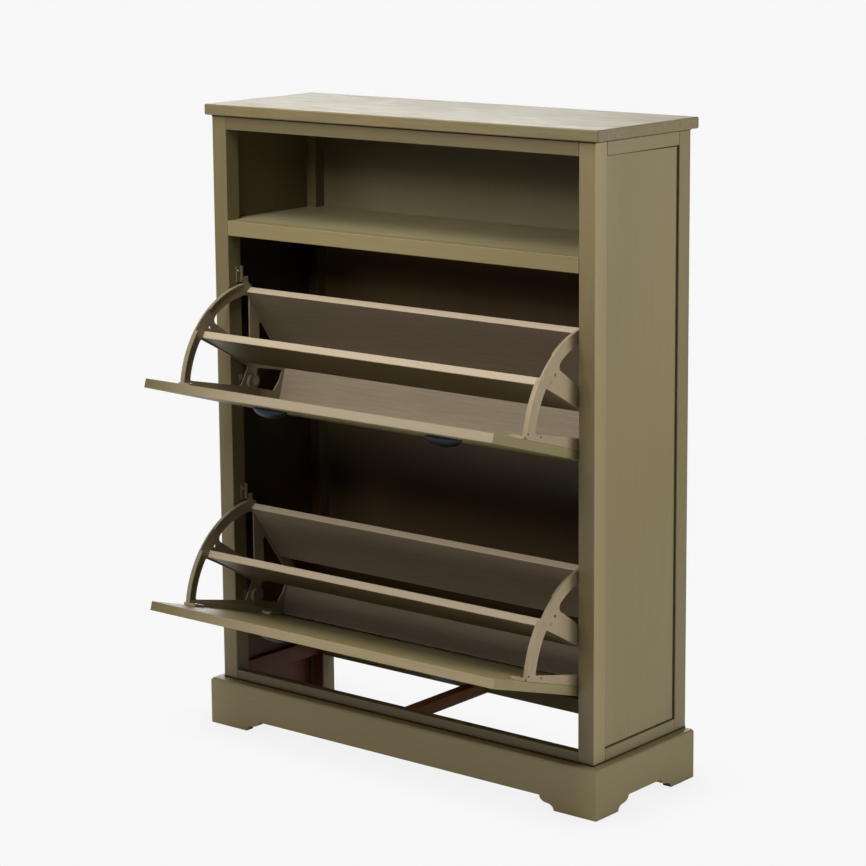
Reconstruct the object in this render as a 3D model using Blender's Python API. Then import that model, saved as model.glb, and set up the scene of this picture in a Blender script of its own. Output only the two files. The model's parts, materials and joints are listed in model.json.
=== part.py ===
"""Shoe cabinet: an open cubby over two tilt-out racks, one above the other.

Metres, +Z up, front towards -Y. Depths are counted from the front face of the corner
posts towards the back. Each rack is modelled upright about its own pivot axis, as
(depth, height) from that axis, and is then tilted open by OPEN_ANGLE, its rest position.
"""

import math

import bmesh
import bpy
from mathutils import Matrix, Vector

# Carcass
HEIGHT = 1.050
WIDTH = 0.772  # over the corner posts
DEPTH = 0.248  # over the corner posts
POST = 0.030
FIT = 0.0003  # gap between touching pieces
EASE = 0.0008  # softened board edges

TOP_THICKNESS = 0.018
TOP_OVERHANG_SIDE = 0.010
TOP_OVERHANG_FRONT = 0.008
TOP_OVERHANG_BACK = 0.008

RAIL_THICKNESS = 0.020
TOP_RAIL_HEIGHT = 0.023
SHELF_TOP = 0.860
SHELF_RAIL_HEIGHT = 0.025
SHELF_THICKNESS = 0.015
FRAME_BOTTOM = 0.0715  # underside of the bottom rails
BOTTOM_RAIL_TOP = 0.097
BOTTOM_RAIL_THICKNESS = 0.015
SIDE_RAIL_TOP = 0.100
BRACE_WIDTH = 0.021
BRACE_TOP = 0.092

SIDE_PANEL_THICKNESS = 0.008
SIDE_PANEL_RECESS = 0.003
BACK_PANEL_THICKNESS = 0.005
BACK_PANEL_RECESS = 0.0045

# Plinth
PLINTH_HEIGHT = 0.079
PLINTH_THICKNESS = 0.016
PLINTH_ROUNDING = 0.004
ARCH_HEIGHT = 0.020
FRONT_FOOT = 0.080  # flat length of a foot along the floor
SIDE_FOOT_FRONT = 0.058
SIDE_FOOT_REAR = 0.062
OGEE_LENGTH = 0.028  # the S-curve between a foot and the arch

# Racks
DOOR_THICKNESS = 0.015
DOOR_HALF_WIDTH = 0.3532
GAP_ABOVE_DOOR = 0.003
GAP_BELOW_DOOR = 0.006  # the lower edge swings back and needs more room
PIVOT_DEPTH = 0.044
PIVOT_ABOVE_DOOR_EDGE = 0.1155
OPEN_ANGLE = math.radians(73.5)
INNER_PANEL_THICKNESS = 0.012
INNER_PANEL_HALF_WIDTH = 0.3492

# Pocket-side faces of the inner panels, each as two (depth, height) ends
DIVIDER_FACE = ((0.0284, 0.0272), (0.0533, 0.1368))
REAR_FACE = ((0.0691, -0.0445), (0.1435, 0.0520))
TOE_FACE = ((-0.0265, -0.0740), (0.0540, -0.0740))

# Moulded brackets: a thin web with a deeper rim, a hub and tabs on its inner side
WEB_INNER = 0.3495
BRACKET_OUTER = 0.3525
BRACKET_INNER = 0.3445  # over the rim and the hub
REAR_RIM_INNER = 0.3470
RIM_THICKNESS = 0.0025
DOOR_LINE = -0.0287  # the bracket's edge along the door
FOOT_EDGE = -0.0205
ARM_OUTER_RADIUS = 0.168
ARM_INNER_RADIUS = 0.148
LUG_RADIUS = 0.178
LUG_ANGLES = (18.0, 21.4)
HUB_RADIUS = 0.0135
HUB_HOLE_RADIUS = 0.0043
SCREW_HOLE_RADIUS = 0.0027
SCREW_HOLES = ((0.0725, 0.1230), (0.0598, 0.1287))
TAB_END = 0.3265
TAB_THICKNESS = 0.004

# Pivots and stops
PIN_RADIUS = 0.004
PIN_HEAD_RADIUS = 0.0065
PLATE_INNER = 0.3537
PLATE_OUTER = 0.3557
PLATE_RADIUS = 0.015
PLATE_FRONT = 0.017  # clear of the shut door's inner face
STOP_REACH = 0.3495
STOP_WALL = 0.003

# Cup pulls
PULL_HALF_WIDTH = 0.034
PULL_RISE = 0.024
PULL_PROJECTION = 0.015
PULL_WALL = 0.0016
PULL_BELOW_DOOR_TOP = 0.113  # from the door's top edge to the pull's mouth

BODY_TOP = HEIGHT - TOP_THICKNESS
BACK_FACE = DEPTH - BACK_PANEL_RECESS - BACK_PANEL_THICKNESS  # front of the back panel
OPENING_TOP = SHELF_TOP - SHELF_RAIL_HEIGHT
DOOR_HEIGHT = (OPENING_TOP - BOTTOM_RAIL_TOP - GAP_ABOVE_DOOR - 2 * GAP_BELOW_DOOR) / 2
DOOR_LOW = -PIVOT_ABOVE_DOOR_EDGE
DOOR_TOP = DOOR_LOW + DOOR_HEIGHT
PIVOT_HEIGHTS = {
    "lower": BOTTOM_RAIL_TOP + GAP_BELOW_DOOR + PIVOT_ABOVE_DOOR_EDGE,
    "upper": OPENING_TOP - GAP_ABOVE_DOOR - DOOR_TOP,
}
# The open doors reach this far in front of the posts
FRONT_REACH = PIVOT_DEPTH * (math.cos(OPEN_ANGLE) - 1) + DOOR_TOP * math.sin(OPEN_ANGLE)
SIDES = {"left": -1, "right": 1}


def linear(red, green, blue):
    """Principled base colour from 0-255 display values."""
    def channel(value):
        value /= 255
        return value / 12.92 if value <= 0.04045 else ((value + 0.055) / 1.055) ** 2.4

    return channel(red), channel(green), channel(blue), 1.0


def make_material(name, colour, roughness, metallic=0.0):
    material = bpy.data.materials.new(name)
    material.use_nodes = True
    shader = material.node_tree.nodes["Principled BSDF"]
    shader.inputs["Base Color"].default_value = colour
    shader.inputs["Roughness"].default_value = roughness
    shader.inputs["Metallic"].default_value = metallic
    material.diffuse_color = colour
    return material


def make_materials():
    return {
        "olive_paint": make_material("olive_paint", linear(128, 119, 86), 0.5),
        "interior_brown": make_material("interior_brown", linear(92, 68, 50), 0.65),
        "panel_foil": make_material("panel_foil", linear(112, 100, 84), 0.55),
        "beige_plastic": make_material("beige_plastic", linear(168, 150, 124), 0.45),
        "pull_metal": make_material("pull_metal", linear(84, 90, 100), 0.35, 1.0),
        "zinc_steel": make_material("zinc_steel", linear(150, 150, 150), 0.4, 1.0),
    }


def add_empty(name, parent=None, location=(0, 0, 0)):
    empty = bpy.data.objects.new(name, None)
    empty.location = location
    empty.parent = parent
    bpy.context.scene.collection.objects.link(empty)
    return empty


def add_object(name, bm, material, parent, location=(0, 0, 0), smooth_angle=None):
    bmesh.ops.recalc_face_normals(bm, faces=bm.faces)
    mesh = bpy.data.meshes.new(name)
    bm.to_mesh(mesh)
    bm.free()
    mesh.materials.append(material)
    if smooth_angle is not None:
        mesh.shade_smooth()
        mesh.set_sharp_from_angle(angle=math.radians(smooth_angle))
    item = bpy.data.objects.new(name, mesh)
    item.location = location
    item.parent = parent
    bpy.context.scene.collection.objects.link(item)
    return item


def ease_edges(item, width=EASE, segments=1):
    bevel = item.modifiers.new("eased edges", "BEVEL")
    bevel.width = width
    bevel.segments = segments
    bevel.limit_method = "ANGLE"


def box(size):
    bm = bmesh.new()
    bmesh.ops.create_cube(bm, size=1.0)
    bmesh.ops.scale(bm, vec=size, verts=bm.verts)
    return bm


def board(name, low, high, material, parent):
    """A board between two nominal corners, half a fit gap inside each, but down to the floor."""
    low = [value + FIT / 2 for value in low[:2]] + [low[2] + (FIT / 2 if low[2] > 0 else 0)]
    high = [value - FIT / 2 for value in high]
    size = [b - a for a, b in zip(low, high)]
    centre = [(a + b) / 2 for a, b in zip(low, high)]
    item = add_object(name, box(size), material, parent, centre)
    ease_edges(item)
    return item


def arc(radius, start, end, steps, centre=(0.0, 0.0)):
    """Points on a circle between two angles in degrees, both ends included."""
    points = []
    for step in range(steps + 1):
        angle = math.radians(start + (end - start) * step / steps)
        points.append((centre[0] + radius * math.cos(angle), centre[1] + radius * math.sin(angle)))
    return points


def rounded(previous, corner, following, radius, steps=5):
    """The corner of an outline as a round of the given radius."""
    corner = Vector(corner)
    back = (Vector(previous) - corner).normalized()
    ahead = (Vector(following) - corner).normalized()
    half = back.angle(ahead) / 2
    centre = corner + (back + ahead).normalized() * (radius / math.sin(half))
    first = corner + back * (radius / math.tan(half)) - centre
    last = corner + ahead * (radius / math.tan(half)) - centre
    turn = first.angle_signed(last)
    return [tuple(centre + Matrix.Rotation(-turn * step / steps, 2) @ first) for step in range(steps + 1)]


def plate(outlines, to_space, thickness):
    """A flat plate with holes: closed outlines, mapped into space and extruded by a vector."""
    bm = bmesh.new()
    edges = []
    for outline in outlines:
        verts = [bm.verts.new(to_space(*point)) for point in outline]
        edges += [bm.edges.new((verts[i - 1], verts[i])) for i in range(len(verts))]
    bmesh.ops.triangle_fill(bm, edges=edges, use_beauty=True)
    pushed = bmesh.ops.extrude_face_region(bm, geom=bm.faces[:])["geom"]
    moved = [item for item in pushed if isinstance(item, bmesh.types.BMVert)]
    bmesh.ops.translate(bm, vec=thickness, verts=moved)
    return bm


def turned(profile, steps=20):
    """A round piece about the X axis, from (x, radius) points that start and end on the axis."""
    bm = bmesh.new()
    verts = [bm.verts.new((x, 0, radius)) for x, radius in profile]
    edges = [bm.edges.new(pair) for pair in zip(verts, verts[1:])]
    bmesh.ops.spin(bm, geom=verts + edges, cent=(0, 0, 0), axis=(1, 0, 0), angle=2 * math.pi, steps=steps)
    bmesh.ops.remove_doubles(bm, verts=bm.verts, dist=1e-6)
    return bm


def make_frame(materials, cabinet):
    """Posts, rails, shelf, panels, brace and top board."""
    paint = materials["olive_paint"]
    half = WIDTH / 2
    inside = half - POST
    back = DEPTH - POST
    rail_inside = half - RAIL_THICKNESS
    rail_low = BODY_TOP - TOP_RAIL_HEIGHT
    panel_outer = half - SIDE_PANEL_RECESS

    board(
        "top_board",
        (-half - TOP_OVERHANG_SIDE, -TOP_OVERHANG_FRONT, BODY_TOP),
        (half + TOP_OVERHANG_SIDE, DEPTH + TOP_OVERHANG_BACK, HEIGHT),
        paint,
        cabinet,
    ).modifiers["eased edges"].width = 2 * EASE

    for side, sign in SIDES.items():
        for end, y in (("front", 0), ("rear", back)):
            x = sorted((sign * inside, sign * half))
            board(f"post_{end}_{side}", (x[0], y, 0), (x[1], y + POST, BODY_TOP), paint, cabinet)
        x = sorted((sign * rail_inside, sign * half))
        board(f"top_rail_{side}", (x[0], POST, rail_low), (x[1], back, BODY_TOP), paint, cabinet)
        board(f"bottom_rail_{side}", (x[0], POST, FRAME_BOTTOM), (x[1], back, SIDE_RAIL_TOP), paint, cabinet)
        x = sorted((sign * (panel_outer - SIDE_PANEL_THICKNESS), sign * panel_outer))
        board(f"side_panel_{side}", (x[0], POST, SIDE_RAIL_TOP), (x[1], back, rail_low), paint, cabinet)

    board("top_rail_front", (-inside, 0, rail_low), (inside, RAIL_THICKNESS, BODY_TOP), paint, cabinet)
    board("top_rail_rear", (-inside, back, rail_low), (inside, BACK_FACE, BODY_TOP), paint, cabinet)
    board("shelf_rail", (-inside, 0, OPENING_TOP), (inside, RAIL_THICKNESS, SHELF_TOP), paint, cabinet)
    make_shelf(paint, cabinet, inside, panel_outer - SIDE_PANEL_THICKNESS, back)

    bottom = (-inside, 0, FRAME_BOTTOM)
    board("bottom_rail_front", bottom, (inside, BOTTOM_RAIL_THICKNESS, BOTTOM_RAIL_TOP), paint, cabinet)
    bottom = (-inside, back, FRAME_BOTTOM)
    board("bottom_rail_rear", bottom, (inside, BACK_FACE, BOTTOM_RAIL_TOP), paint, cabinet)
    bottom = (-inside, BACK_FACE, FRAME_BOTTOM)
    board("back_panel", bottom, (inside, BACK_FACE + BACK_PANEL_THICKNESS, BODY_TOP), paint, cabinet)
    board(
        "centre_brace",
        (-BRACE_WIDTH / 2, BOTTOM_RAIL_THICKNESS, FRAME_BOTTOM),
        (BRACE_WIDTH / 2, back, BRACE_TOP),
        materials["interior_brown"],
        cabinet,
    )


def make_shelf(paint, cabinet, inside, panel_face, back):
    """The cubby's floor, notched around the four posts."""
    gap = FIT / 2
    front = RAIL_THICKNESS + gap
    narrow = inside - gap
    wide = panel_face - gap
    right = [
        (narrow, front),
        (narrow, POST + gap),
        (wide, POST + gap),
        (wide, back - gap),
        (narrow, back - gap),
        (narrow, BACK_FACE - gap),
    ]
    outline = right + [(-x, y) for x, y in reversed(right)]
    low = SHELF_TOP - SHELF_THICKNESS
    bm = plate([outline], lambda x, y: (x, y, low + gap), (0, 0, SHELF_THICKNESS - FIT))
    ease_edges(add_object("shelf_board", bm, paint, cabinet))


def foot_curve(foot_end, direction):
    """The S-curve from a foot's end up to the arch: a convex round, then a hollow one."""
    rise = ARCH_HEIGHT / 2
    run = OGEE_LENGTH / 2
    points = []
    for step in range(1, 6):
        angle = math.pi / 2 * step / 5
        points.append((foot_end + direction * run * (1 - math.cos(angle)), rise * math.sin(angle)))
    for step in range(1, 6):
        angle = math.pi / 2 * step / 5
        points.append((foot_end + direction * run * (1 + math.sin(angle)), ARCH_HEIGHT - rise * math.cos(angle)))
    return points


def plinth_outline(start, end, foot_start, foot_end):
    """A plinth board seen from outside: floor line with an arch between two feet."""
    first = [(start, 0), (start + foot_start, 0)] + foot_curve(start + foot_start, 1)
    last = [(end, 0), (end - foot_end, 0)] + foot_curve(end - foot_end, -1)
    return [(start, PLINTH_HEIGHT - FIT / 2)] + first + list(reversed(last)) + [(end, PLINTH_HEIGHT - FIT / 2)]


def round_top_edge(bm, on_outside):
    edges = [
        edge
        for edge in bm.edges
        if all(on_outside(vert.co) and vert.co.z > PLINTH_HEIGHT - 2 * FIT for vert in edge.verts)
    ]
    bmesh.ops.bevel(bm, geom=edges, offset=PLINTH_ROUNDING, segments=4, profile=0.5, affect="EDGES")


def make_plinth(paint, cabinet):
    """Three boards around the legs, mitred at the front corners and open at the back."""
    outside = WIDTH / 2 + PLINTH_THICKNESS
    mitre = FIT / 2
    outline = plinth_outline(-outside + mitre, outside - mitre, FRONT_FOOT, FRONT_FOOT)
    bm = plate([outline], lambda x, z: (x, -PLINTH_THICKNESS, z), (0, PLINTH_THICKNESS - FIT, 0))
    for vert in bm.verts:
        if vert.co.y > -PLINTH_THICKNESS / 2 and abs(vert.co.x) > outside - FIT:
            vert.co.x = math.copysign(abs(vert.co.x) - PLINTH_THICKNESS + FIT, vert.co.x)
    round_top_edge(bm, lambda co: co.y < -PLINTH_THICKNESS + FIT)
    add_object("plinth_front", bm, paint, cabinet, smooth_angle=30)

    for side, sign in SIDES.items():
        outline = plinth_outline(-PLINTH_THICKNESS + mitre, DEPTH, SIDE_FOOT_FRONT, SIDE_FOOT_REAR)
        shift = (-sign * (PLINTH_THICKNESS - FIT), 0, 0)
        bm = plate([outline], lambda y, z: (sign * outside, y, z), shift)
        for vert in bm.verts:
            if abs(vert.co.x) < outside - FIT and vert.co.y < -PLINTH_THICKNESS + FIT:
                vert.co.y += PLINTH_THICKNESS - FIT
        round_top_edge(bm, lambda co: abs(co.x) > outside - FIT)
        add_object(f"plinth_{side}", bm, paint, cabinet, smooth_angle=30)


def direction_of(face):
    (d0, h0), (d1, h1) = face
    along = Vector((d1 - d0, h1 - h0)).normalized()
    return along, Vector((along.y, -along.x))


def slanted_box(size, face, along_by, behind_by):
    """A box in the rack's frame, lined up with a panel's pocket-side face."""
    along, behind = direction_of(face)
    centre = Vector(face[0]) + along * along_by + behind * behind_by
    turn = math.atan2(-along.x, along.y)
    return Matrix.Translation((0, *centre)) @ Matrix.Rotation(turn, 4, "X") @ Matrix.Diagonal((*size, 1))


def inner_panel(name, face, material, rack):
    """A plain board whose pocket-side face runs between two points, its thickness behind it."""
    along, behind = direction_of(face)
    length = (Vector(face[1]) - Vector(face[0])).length
    centre = Vector(face[0]) + along * length / 2 + behind * INNER_PANEL_THICKNESS / 2
    bm = box((2 * INNER_PANEL_HALF_WIDTH, INNER_PANEL_THICKNESS, length))
    item = add_object(name, bm, material, rack, (0, *centre))
    item.rotation_euler.x = math.atan2(-along.x, along.y)
    ease_edges(item)


def circle(radius, centre=(0.0, 0.0), steps=20):
    return arc(radius, 0, 360, steps, centre)[:-1]


def on_arm(radius, angle):
    return radius * math.cos(math.radians(angle)), radius * math.sin(math.radians(angle))


def arm_arc(radius, start, end):
    """Points about the pivot on a 3 degree grid, so that nested arcs have parallel facets."""
    low, high = sorted((start, end))
    grid = range(math.ceil((low + 0.5) / 3), math.floor((high - 0.5) / 3) + 1)
    points = [on_arm(radius, angle) for angle in (low, *(3 * index for index in grid), high)]
    return points if start < end else points[::-1]


def bracket_outlines():
    """The web in (depth, height): its edge, four windows and its holes."""
    start = math.degrees(math.acos(DOOR_LINE / ARM_OUTER_RADIUS))
    rear_low, rear_top = (0.0818, -0.0543), (0.1562, 0.0422)
    heel, bottom = (0.0543, -0.0900), (DOOR_LINE, -0.0900)
    edge = arm_arc(ARM_OUTER_RADIUS, start, LUG_ANGLES[1])
    edge += arm_arc(LUG_RADIUS, LUG_ANGLES[1], LUG_ANGLES[0])
    edge += [on_arm(ARM_OUTER_RADIUS, LUG_ANGLES[0]), rear_top]
    edge += rounded(rear_low, heel, bottom, 0.020)
    edge += rounded(heel, bottom, (DOOR_LINE, 0), 0.006)

    # Between the door and the divider
    strip_low, strip_top = (-0.0122, 0.0450), (-0.0190, 0.1468)
    spoke_low, spoke_top = (0.0350, 0.0650), (0.0505, 0.1392)
    front = rounded(strip_low, strip_top, on_arm(ARM_INNER_RADIUS, 90), 0.003, 3)
    front += arm_arc(ARM_INNER_RADIUS, 94, 74)
    front += rounded(on_arm(ARM_INNER_RADIUS, 74), spoke_top, spoke_low, 0.004, 4)
    front += [(0.0440, 0.1060), spoke_low]
    front += rounded(spoke_low, (0.0235, 0.0145), (-0.0030, 0.0215), 0.003, 3)
    front += rounded((0.0235, 0.0145), (-0.0115, 0.0238), strip_low, 0.005, 3) + [strip_low]

    # Between the divider and the second spoke
    notch, rear_corner, fork = (0.0835, 0.1215), (0.1395, 0.0434), (0.0427, 0.0147)
    middle = rounded((0.0670, 0.0680), notch, on_arm(ARM_INNER_RADIUS, 46), 0.008)
    middle += arm_arc(ARM_INNER_RADIUS, 50, 23)
    middle += rounded(on_arm(ARM_INNER_RADIUS, 23), rear_corner, fork, 0.005)
    middle += rounded(rear_corner, fork, (0.0670, 0.0680), 0.003, 3) + [(0.0670, 0.0680)]

    # Between the second spoke and the rear panel
    rib_head, rib_foot, hub_end = (0.1066, 0.0107), (0.0659, -0.0421), (0.0320, -0.0114)
    rear = rounded(hub_end, rib_head, rib_foot, 0.004, 3)
    rear += rounded(rib_head, (0.0505, -0.0620), (0.0365, -0.0620), 0.008)
    rear += rounded((0.0505, -0.0620), (0.0365, -0.0620), hub_end, 0.005, 3)
    rear += rounded((0.0365, -0.0620), hub_end, rib_head, 0.004, 3)

    # Between the hub and the toe panel
    low = math.degrees(math.acos(-0.0085 / HUB_RADIUS))
    toe = arc(HUB_RADIUS, 360 - low, 318, 5)
    toe += rounded((0.0110, -0.0080), (0.0242, -0.0080), (0.0290, -0.0670), 0.002, 3)
    toe += rounded((0.0242, -0.0080), (0.0292, -0.0700), (0.0150, -0.0690), 0.003, 3)
    toe += rounded((0.0292, -0.0700), (0.0110, -0.0680), (-0.0085, -0.0585), 0.020)
    toe += rounded((0.0110, -0.0680), (-0.0085, -0.0585), (-0.0085, 0), 0.004, 3)

    holes = [circle(HUB_HOLE_RADIUS)] + [circle(SCREW_HOLE_RADIUS, centre, 12) for centre in SCREW_HOLES]
    return [edge, front, middle, rear, toe] + holes


def side_plate(outlines, sign, inner, outer):
    """A plate across X, from outlines in the rack's (depth, height)."""
    return plate(outlines, lambda d, h: (sign * inner, d, h), (sign * (outer - inner), 0, 0))


def bracket_rims():
    """The foot along the door with the front rim, the hub, and the shallower rear rim."""
    step = 0.0003  # keeps these walls just inside the web's edge
    outer = ARM_OUTER_RADIUS - step
    inner = ARM_OUTER_RADIUS - RIM_THICKNESS
    line = DOOR_LINE + step
    sunk = WEB_INNER + 0.001
    foot = arm_arc(outer, math.degrees(math.acos(line / outer)), 68)
    foot += arm_arc(inner, 68, math.degrees(math.acos(FOOT_EDGE / inner)))
    foot += [(FOOT_EDGE, -0.0680), (line, -0.0680)]
    rear = arm_arc(outer, 53, LUG_ANGLES[1] + 1) + arm_arc(inner, LUG_ANGLES[1] + 1, 53)
    hub = [circle(HUB_RADIUS - step, steps=24), circle(HUB_HOLE_RADIUS + 2 * step)]
    bm = side_plate([foot], -1, BRACKET_INNER, sunk)
    for outlines, low in ((hub, BRACKET_INNER), ([rear], REAR_RIM_INNER)):
        extra = bpy.data.meshes.new("rim")
        piece = side_plate(outlines, -1, low, sunk)
        piece.to_mesh(extra)
        piece.free()
        bm.from_mesh(extra)
        bpy.data.meshes.remove(extra)
    return bm


def bracket_tabs():
    """Tabs on the door and ledges behind the inner panels, all reaching inwards from the web."""
    sunk = WEB_INNER + 0.001
    middle = Matrix.Translation((-(sunk + TAB_END) / 2, 0, 0))
    width = sunk - TAB_END
    door_line = ((DOOR_LINE, 0), (DOOR_LINE, 1))
    places = [
        slanted_box((width, TAB_THICKNESS, length), door_line, at, TAB_THICKNESS / 2)
        for at, length in ((0.160, 0.024), (-0.029, 0.026))
    ]
    ledge = INNER_PANEL_THICKNESS + FIT + 0.0015
    for face, at in ((DIVIDER_FACE, 0.075), (REAR_FACE, 0.060), (TOE_FACE, 0.040)):
        places.append(slanted_box((width, 0.003, 0.026), face, at, ledge))
    bm = bmesh.new()
    for place in places:
        bmesh.ops.create_cube(bm, size=1.0, matrix=middle @ place)
    return bm


def left_bracket_mesh(material):
    """The web joined with its rims and tabs, as one finished mesh."""
    bm = side_plate(bracket_outlines(), -1, WEB_INNER, BRACKET_OUTER)
    items = [add_object("web", bm, material, None, smooth_angle=30)]
    for kind, extra in (("rims", bracket_rims()), ("tabs", bracket_tabs())):
        items.append(add_object(kind, extra, material, None))
        union = items[0].modifiers.new(kind, "BOOLEAN")
        union.operation = "UNION"
        union.solver = "EXACT"
        union.object = items[-1]
        items[0].modifiers.new(f"{kind} weld", "WELD").merge_threshold = 0.00006
    finished = items[0].evaluated_get(bpy.context.evaluated_depsgraph_get())
    mesh = bpy.data.meshes.new_from_object(finished)
    for item in items:
        bpy.data.objects.remove(item, do_unlink=True)
    return mesh


def make_bracket(name, sign, left_mesh, rack):
    mesh = left_mesh.copy()
    mesh.name = name
    if sign > 0:
        mesh.transform(Matrix.Scale(-1, 4, (1, 0, 0)))
        mesh.flip_normals()
    item = bpy.data.objects.new(name, mesh)
    item.parent = rack
    bpy.context.scene.collection.objects.link(item)


def make_pull(name, x, material, rack):
    """A cup pull: a quarter of a hollow ellipsoid, open downwards and against the door."""
    across, around = 16, 6
    bm = bmesh.new()

    def shell(wall):
        rows = []
        for i in range(across + 1):
            t = math.pi * i / across
            row = []
            for j in range(around + 1):
                s = math.pi / 2 * j / around
                point = (
                    (PULL_HALF_WIDTH - wall) * math.cos(t),
                    -(PULL_PROJECTION - wall) * math.sin(t) * math.cos(s),
                    (PULL_RISE - wall) * math.sin(t) * math.sin(s),
                )
                tip = i in (0, across)
                row.append(row[0] if tip and row else bm.verts.new(point))
            rows.append(row)
        return rows

    outer, inner = shell(0), shell(PULL_WALL)

    def face(*verts):
        unique = list(dict.fromkeys(verts))
        if len(unique) > 2:
            bm.faces.new(unique)

    for i in range(across):
        for j in range(around):
            face(outer[i][j], outer[i + 1][j], outer[i + 1][j + 1], outer[i][j + 1])
            face(inner[i][j], inner[i][j + 1], inner[i + 1][j + 1], inner[i + 1][j])
        for j in (0, around):
            face(outer[i][j], inner[i][j], inner[i + 1][j], outer[i + 1][j])
    face_depth = -PIVOT_DEPTH - FIT
    add_object(name, bm, material, rack, (x, face_depth, DOOR_TOP - PULL_BELOW_DOOR_TOP), smooth_angle=40)


def make_rack(level, materials, left_bracket, cabinet):
    """One tilting rack: door, three inner panels, two brackets and two cup pulls."""
    rack = add_empty(f"{level}_rack_pivot", cabinet, (0, PIVOT_DEPTH, PIVOT_HEIGHTS[level]))
    rack.rotation_euler.x = OPEN_ANGLE

    door = box((2 * DOOR_HALF_WIDTH, DOOR_THICKNESS, DOOR_HEIGHT))
    middle = (0, -PIVOT_DEPTH + DOOR_THICKNESS / 2, (DOOR_LOW + DOOR_TOP) / 2)
    ease_edges(add_object(f"{level}_door", door, materials["olive_paint"], rack, middle))

    for name, face in (("divider", DIVIDER_FACE), ("rear_panel", REAR_FACE), ("toe_panel", TOE_FACE)):
        inner_panel(f"{level}_{name}", face, materials["panel_foil"], rack)

    for side, sign in SIDES.items():
        make_bracket(f"{level}_bracket_{side}", sign, left_bracket, rack)
        make_pull(f"{level}_pull_{side}", sign * DOOR_HALF_WIDTH / 2, materials["pull_metal"], rack)


def make_pivot(level, side, sign, materials, cabinet):
    """A flat steel ear on the post, and a riveted pin through the ear and the bracket's hub."""
    height = PIVOT_HEIGHTS[level]
    ear = [(PLATE_FRONT - PIVOT_DEPTH, PLATE_RADIUS), (PLATE_FRONT - PIVOT_DEPTH, -PLATE_RADIUS)]
    ear += arc(PLATE_RADIUS, -90, 90, 12)
    steel = materials["zinc_steel"]
    at = (0, PIVOT_DEPTH, height)
    bm = side_plate([ear, circle(HUB_HOLE_RADIUS)], sign, PLATE_INNER, PLATE_OUTER)
    add_object(f"{level}_pivot_plate_{side}", bm, steel, cabinet, at)

    head = 0.0018
    profile = [
        (PLATE_OUTER + FIT + head, 0),
        (PLATE_OUTER + FIT + head, PIN_HEAD_RADIUS),
        (PLATE_OUTER + FIT, PIN_HEAD_RADIUS),
        (PLATE_OUTER + FIT, PIN_RADIUS),
        (BRACKET_INNER - FIT, PIN_RADIUS),
        (BRACKET_INNER - FIT, PIN_HEAD_RADIUS),
        (BRACKET_INNER - FIT - head, PIN_HEAD_RADIUS),
        (BRACKET_INNER - FIT - head, 0),
    ]
    bm = turned([(sign * x, radius) for x, radius in profile])
    add_object(f"{level}_pivot_pin_{side}", bm, steel, cabinet, at, smooth_angle=40)


def make_stops(level, side, sign, materials, cabinet):
    """Two small angles that the arm's lug meets: in front when open, below when shut."""
    height = PIVOT_HEIGHTS[level]
    plastic = materials["beige_plastic"]

    low, high = height + ARM_OUTER_RADIUS + 0.002, height + 0.196
    rear, front = PLATE_FRONT + 0.0115, PLATE_FRONT
    section = [
        (PLATE_OUTER, front),
        (PLATE_OUTER, rear),
        (STOP_REACH, rear),
        (STOP_REACH, rear - STOP_WALL),
        (PLATE_INNER, rear - STOP_WALL),
        (PLATE_INNER, front),
    ]
    bm = plate([section], lambda x, y: (sign * x, y, low), (0, 0, high - low))
    add_object(f"{level}_open_stop_{side}", bm, plastic, cabinet)

    top = height + 0.0522
    section = [
        (PLATE_OUTER, top - 0.016),
        (PLATE_OUTER, top),
        (STOP_REACH, top),
        (STOP_REACH, top - STOP_WALL),
        (PLATE_INNER, top - STOP_WALL),
        (PLATE_INNER, top - 0.016),
    ]
    start, end = PIVOT_DEPTH + 0.162, BACK_FACE - FIT
    bm = plate([section], lambda x, z: (sign * x, start, z), (0, end - start, 0))
    add_object(f"{level}_closed_stop_{side}", bm, plastic, cabinet)


def main():
    for item in list(bpy.data.objects):
        bpy.data.objects.remove(item, do_unlink=True)
    materials = make_materials()
    middle = (DEPTH + TOP_OVERHANG_BACK - FRONT_REACH) / 2
    cabinet = add_empty("cabinet", location=(0, -middle, 0))
    make_frame(materials, cabinet)
    make_plinth(materials["olive_paint"], cabinet)
    left_bracket = left_bracket_mesh(materials["beige_plastic"])
    for level in PIVOT_HEIGHTS:
        make_rack(level, materials, left_bracket, cabinet)
        for side, sign in SIDES.items():
            make_pivot(level, side, sign, materials, cabinet)
            make_stops(level, side, sign, materials, cabinet)


main()
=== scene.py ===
"""Looks for the shoe cabinet: materials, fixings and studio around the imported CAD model."""
import json
import math

import bmesh
import bpy
import numpy as np
from mathutils import Matrix, Vector


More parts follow.
